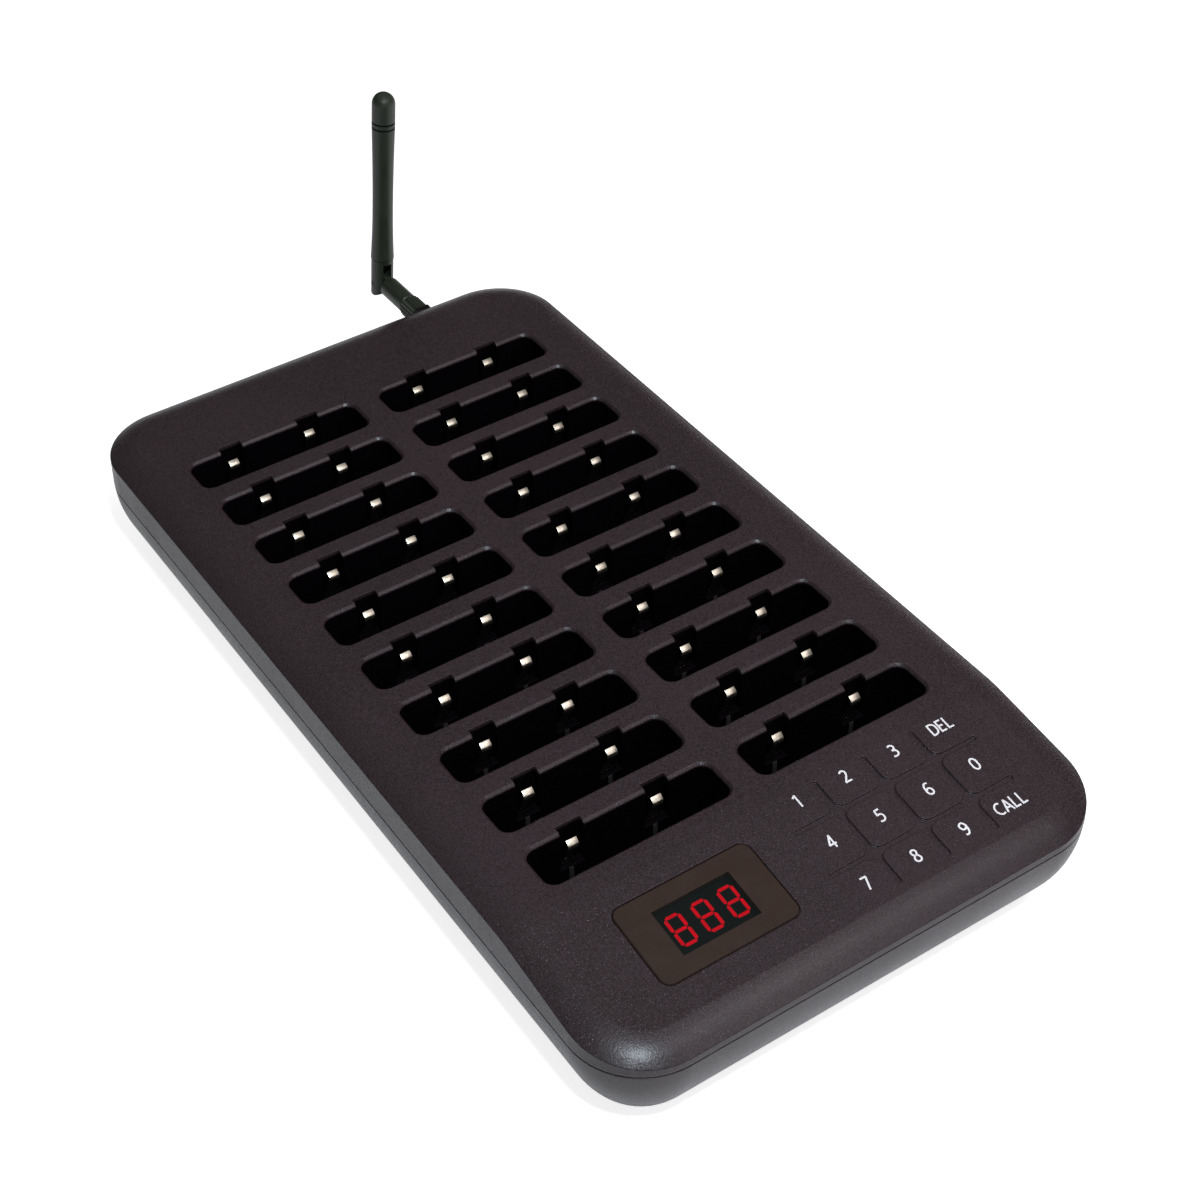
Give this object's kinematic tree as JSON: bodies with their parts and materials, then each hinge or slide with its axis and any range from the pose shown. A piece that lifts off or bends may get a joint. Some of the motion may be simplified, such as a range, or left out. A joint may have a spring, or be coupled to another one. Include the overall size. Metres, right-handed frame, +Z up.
{
  "type": "guest pager system",
  "caption": "Low charging and calling base for guest pagers, with two columns of open pockets, red digits behind a window, a touch keypad and a folding antenna.",
  "frame": {"origin": "under the middle of the case, on the surface that the feet stand on", "axes": "+X to the right of a person at the keypad, +Y to the antenna's side, +Z up"},
  "size_m": [0.1504, 0.3104, 0.0958],
  "materials": {
    "case_plastic": "fine-grained satin",
    "window_pane": "smoked brown",
    "led_module": "dark face with red segments",
    "spring_metal": "nickel plated",
    "antenna_black": "satin",
    "brass_plated": "bright plated",
    "black_plastic": "plain",
    "foot_rubber": "soft",
    "pad_foam": "conductive foam",
    "zinc_steel": "zinc plated",
    "shield_steel": "tinned",
    "circuit_board": "solder mask"
  },
  "bodies": {
    "base": {"top_cover": "case_plastic", "bottom_case": "case_plastic", "rubber_feet": "foot_rubber", "case_screws": "zinc_steel", "board_screws": "zinc_steel", "display_window": "window_pane", "led_display": "led_module", "control_board": "circuit_board", "touch_pads": "pad_foam", "left_contact_board": "circuit_board", "right_contact_board": "circuit_board", "left_contact_legs": "spring_metal", "right_contact_legs": "spring_metal", "rear_board": "circuit_board", "radio_can": "shield_steel", "buzzer": "black_plastic", "dc_jack": "black_plastic", "antenna_socket": "brass_plated", "socket_washer": "brass_plated", "socket_nut": "brass_plated", "antenna_nut": "antenna_black"},
    "antenna_elbow": {"antenna_barrel": "antenna_black"},
    "antenna_mast": {"antenna_fork": "antenna_black", "antenna_pin": "zinc_steel", "antenna_sleeve": "antenna_black", "antenna_cap": "antenna_black"},
    "contact_pair_left_01": {"contact_pair_left_01": "spring_metal"},
    "contact_pair_left_02": {"contact_pair_left_02": "spring_metal"},
    "contact_pair_left_03": {"contact_pair_left_03": "spring_metal"},
    "contact_pair_left_04": {"contact_pair_left_04": "spring_metal"},
    "contact_pair_left_05": {"contact_pair_left_05": "spring_metal"},
    "contact_pair_left_06": {"contact_pair_left_06": "spring_metal"},
    "contact_pair_left_07": {"contact_pair_left_07": "spring_metal"},
    "contact_pair_left_08": {"contact_pair_left_08": "spring_metal"},
    "contact_pair_left_09": {"contact_pair_left_09": "spring_metal"},
    "contact_pair_left_10": {"contact_pair_left_10": "spring_metal"},
    "contact_pair_right_01": {"contact_pair_right_01": "spring_metal"},
    "contact_pair_right_02": {"contact_pair_right_02": "spring_metal"},
    "contact_pair_right_03": {"contact_pair_right_03": "spring_metal"},
    "contact_pair_right_04": {"contact_pair_right_04": "spring_metal"},
    "contact_pair_right_05": {"contact_pair_right_05": "spring_metal"},
    "contact_pair_right_06": {"contact_pair_right_06": "spring_metal"},
    "contact_pair_right_07": {"contact_pair_right_07": "spring_metal"},
    "contact_pair_right_08": {"contact_pair_right_08": "spring_metal"},
    "contact_pair_right_09": {"contact_pair_right_09": "spring_metal"},
    "contact_pair_right_10": {"contact_pair_right_10": "spring_metal"}
  },
  "joints": [
    {"name": "antenna_swivel", "type": "hinge", "parent": "base", "child": "antenna_elbow", "pos_m": [0.0409, 0.16745, 0.0296], "axis": [0, 1, 0], "range_deg": [-95.7, 84.3]},
    {"name": "antenna_fold", "type": "hinge", "parent": "antenna_elbow", "child": "antenna_mast", "pos_m": [0.0409, 0.16745, 0.0296], "axis": [0.9951, 0, -0.0993], "range_deg": [-90, 0]},
    {"name": "contact_flex_left_01", "type": "hinge", "parent": "base", "child": "contact_pair_left_01", "pos_m": [-0.0312, 0.10835, 0.0239], "axis": [-1, 0, 0], "range_deg": [0, 9], "stiffness_Nm_per_rad": 0.03},
    {"name": "contact_flex_left_02", "type": "hinge", "parent": "base", "child": "contact_pair_left_02", "pos_m": [-0.0312, 0.08835, 0.0239], "axis": [-1, 0, 0], "range_deg": [0, 9], "stiffness_Nm_per_rad": 0.03},
    {"name": "contact_flex_left_03", "type": "hinge", "parent": "base", "child": "contact_pair_left_03", "pos_m": [-0.0312, 0.06835, 0.0239], "axis": [-1, 0, 0], "range_deg": [0, 9], "stiffness_Nm_per_rad": 0.03},
    {"name": "contact_flex_left_04", "type": "hinge", "parent": "base", "child": "contact_pair_left_04", "pos_m": [-0.0312, 0.04835, 0.0239], "axis": [-1, 0, 0], "range_deg": [0, 9], "stiffness_Nm_per_rad": 0.03},
    {"name": "contact_flex_left_05", "type": "hinge", "parent": "base", "child": "contact_pair_left_05", "pos_m": [-0.0312, 0.02835, 0.0239], "axis": [-1, 0, 0], "range_deg": [0, 9], "stiffness_Nm_per_rad": 0.03},
    {"name": "contact_flex_left_06", "type": "hinge", "parent": "base", "child": "contact_pair_left_06", "pos_m": [-0.0312, 0.00835, 0.0239], "axis": [-1, 0, 0], "range_deg": [0, 9], "stiffness_Nm_per_rad": 0.03},
    {"name": "contact_flex_left_07", "type": "hinge", "parent": "base", "child": "contact_pair_left_07", "pos_m": [-0.0312, -0.01165, 0.0239], "axis": [-1, 0, 0], "range_deg": [0, 9], "stiffness_Nm_per_rad": 0.03},
    {"name": "contact_flex_left_08", "type": "hinge", "parent": "base", "child": "contact_pair_left_08", "pos_m": [-0.0312, -0.03165, 0.0239], "axis": [-1, 0, 0], "range_deg": [0, 9], "stiffness_Nm_per_rad": 0.03},
    {"name": "contact_flex_left_09", "type": "hinge", "parent": "base", "child": "contact_pair_left_09", "pos_m": [-0.0312, -0.05165, 0.0239], "axis": [-1, 0, 0], "range_deg": [0, 9], "stiffness_Nm_per_rad": 0.03},
    {"name": "contact_flex_left_10", "type": "hinge", "parent": "base", "child": "contact_pair_left_10", "pos_m": [-0.0312, -0.07165, 0.0239], "axis": [-1, 0, 0], "range_deg": [0, 9], "stiffness_Nm_per_rad": 0.03},
    {"name": "contact_flex_right_01", "type": "hinge", "parent": "base", "child": "contact_pair_right_01", "pos_m": [0.0312, 0.10835, 0.0239], "axis": [-1, 0, 0], "range_deg": [0, 9], "stiffness_Nm_per_rad": 0.03},
    {"name": "contact_flex_right_02", "type": "hinge", "parent": "base", "child": "contact_pair_right_02", "pos_m": [0.0312, 0.08835, 0.0239], "axis": [-1, 0, 0], "range_deg": [0, 9], "stiffness_Nm_per_rad": 0.03},
    {"name": "contact_flex_right_03", "type": "hinge", "parent": "base", "child": "contact_pair_right_03", "pos_m": [0.0312, 0.06835, 0.0239], "axis": [-1, 0, 0], "range_deg": [0, 9], "stiffness_Nm_per_rad": 0.03},
    {"name": "contact_flex_right_04", "type": "hinge", "parent": "base", "child": "contact_pair_right_04", "pos_m": [0.0312, 0.04835, 0.0239], "axis": [-1, 0, 0], "range_deg": [0, 9], "stiffness_Nm_per_rad": 0.03},
    {"name": "contact_flex_right_05", "type": "hinge", "parent": "base", "child": "contact_pair_right_05", "pos_m": [0.0312, 0.02835, 0.0239], "axis": [-1, 0, 0], "range_deg": [0, 9], "stiffness_Nm_per_rad": 0.03},
    {"name": "contact_flex_right_06", "type": "hinge", "parent": "base", "child": "contact_pair_right_06", "pos_m": [0.0312, 0.00835, 0.0239], "axis": [-1, 0, 0], "range_deg": [0, 9], "stiffness_Nm_per_rad": 0.03},
    {"name": "contact_flex_right_07", "type": "hinge", "parent": "base", "child": "contact_pair_right_07", "pos_m": [0.0312, -0.01165, 0.0239], "axis": [-1, 0, 0], "range_deg": [0, 9], "stiffness_Nm_per_rad": 0.03},
    {"name": "contact_flex_right_08", "type": "hinge", "parent": "base", "child": "contact_pair_right_08", "pos_m": [0.0312, -0.03165, 0.0239], "axis": [-1, 0, 0], "range_deg": [0, 9], "stiffness_Nm_per_rad": 0.03},
    {"name": "contact_flex_right_09", "type": "hinge", "parent": "base", "child": "contact_pair_right_09", "pos_m": [0.0312, -0.05165, 0.0239], "axis": [-1, 0, 0], "range_deg": [0, 9], "stiffness_Nm_per_rad": 0.03},
    {"name": "contact_flex_right_10", "type": "hinge", "parent": "base", "child": "contact_pair_right_10", "pos_m": [0.0312, -0.07165, 0.0239], "axis": [-1, 0, 0], "range_deg": [0, 9], "stiffness_Nm_per_rad": 0.03}
  ]
}
